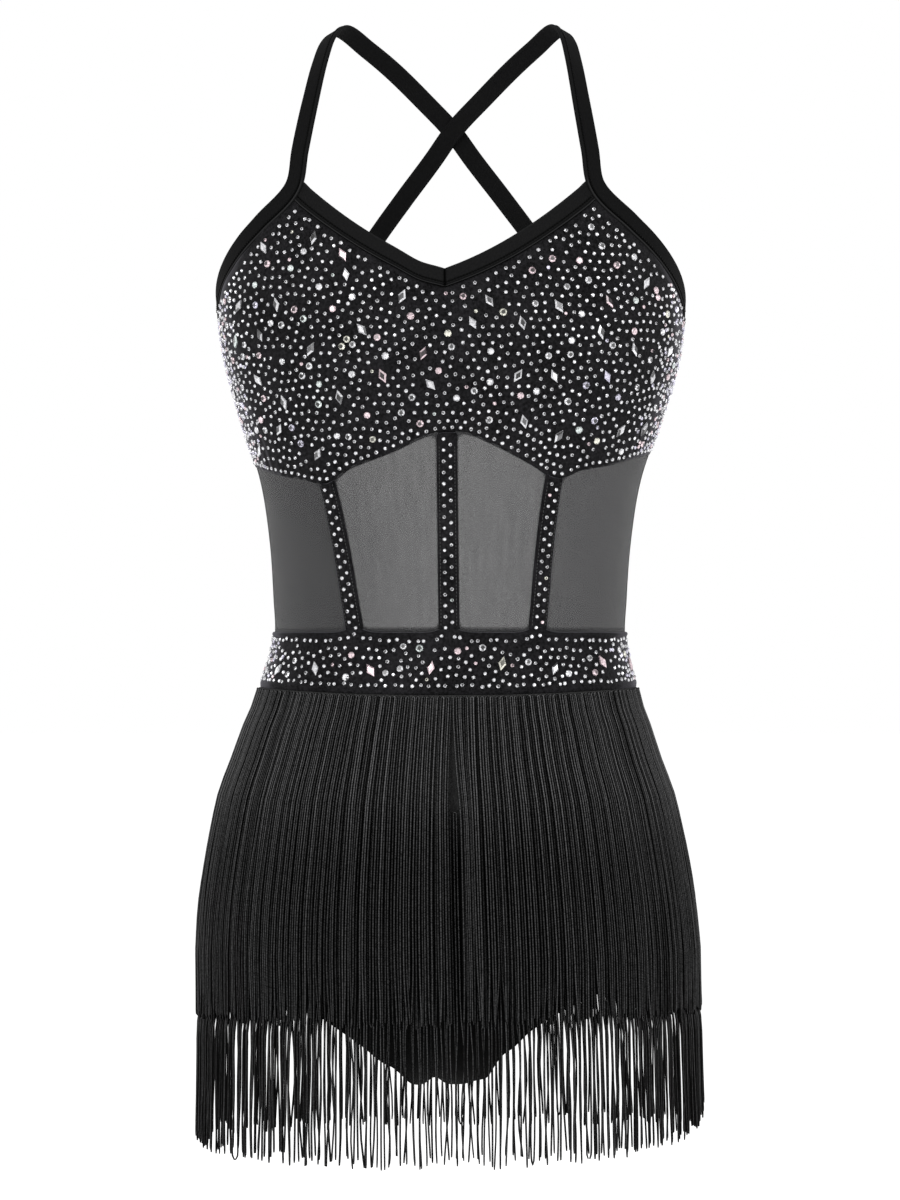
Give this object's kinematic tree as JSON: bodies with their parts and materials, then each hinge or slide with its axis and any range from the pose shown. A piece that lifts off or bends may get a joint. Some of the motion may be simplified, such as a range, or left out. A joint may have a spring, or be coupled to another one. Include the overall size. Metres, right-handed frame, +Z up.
{
  "type": "latin dance dress",
  "caption": "Worn-shape strapped dance leotard with a stone-set velvet bust, sheer waist, crossed back straps and two tiers of hip fringe.",
  "frame": {"origin": "midway between the tops of the two shoulder straps, where the wearer's shoulders hold the dress", "axes": "+Z up the body, -Y the way the front faces, +X towards the wearer's left"},
  "size_m": [0.2792, 0.2025, 0.6168],
  "materials": {
    "velvet": "matte",
    "binding": "matte",
    "power_mesh": "matte",
    "jersey": "matte",
    "fringe": "satin",
    "rhinestone": "gloss",
    "thread": "satin"
  },
  "bodies": {
    "root": {"bodice_front": "velvet", "bodice_back": "velvet", "neck_binding_left": "binding", "neck_binding_right": "binding", "back_binding": "binding", "strap_left": "binding", "strap_right": "binding", "mesh_centre_left": "power_mesh", "mesh_centre_right": "power_mesh", "mesh_side_left": "power_mesh", "mesh_side_right": "power_mesh", "mesh_back": "power_mesh", "strip_left": "velvet", "strip_middle": "velvet", "strip_right": "velvet", "waistband_front": "velvet", "waistband_back": "velvet", "brief_front": "jersey", "brief_back": "jersey", "fringe_upper_front": "fringe", "fringe_upper_back": "fringe", "fringe_lower_front": "fringe", "fringe_lower_back": "fringe"}
  },
  "joints": []
}
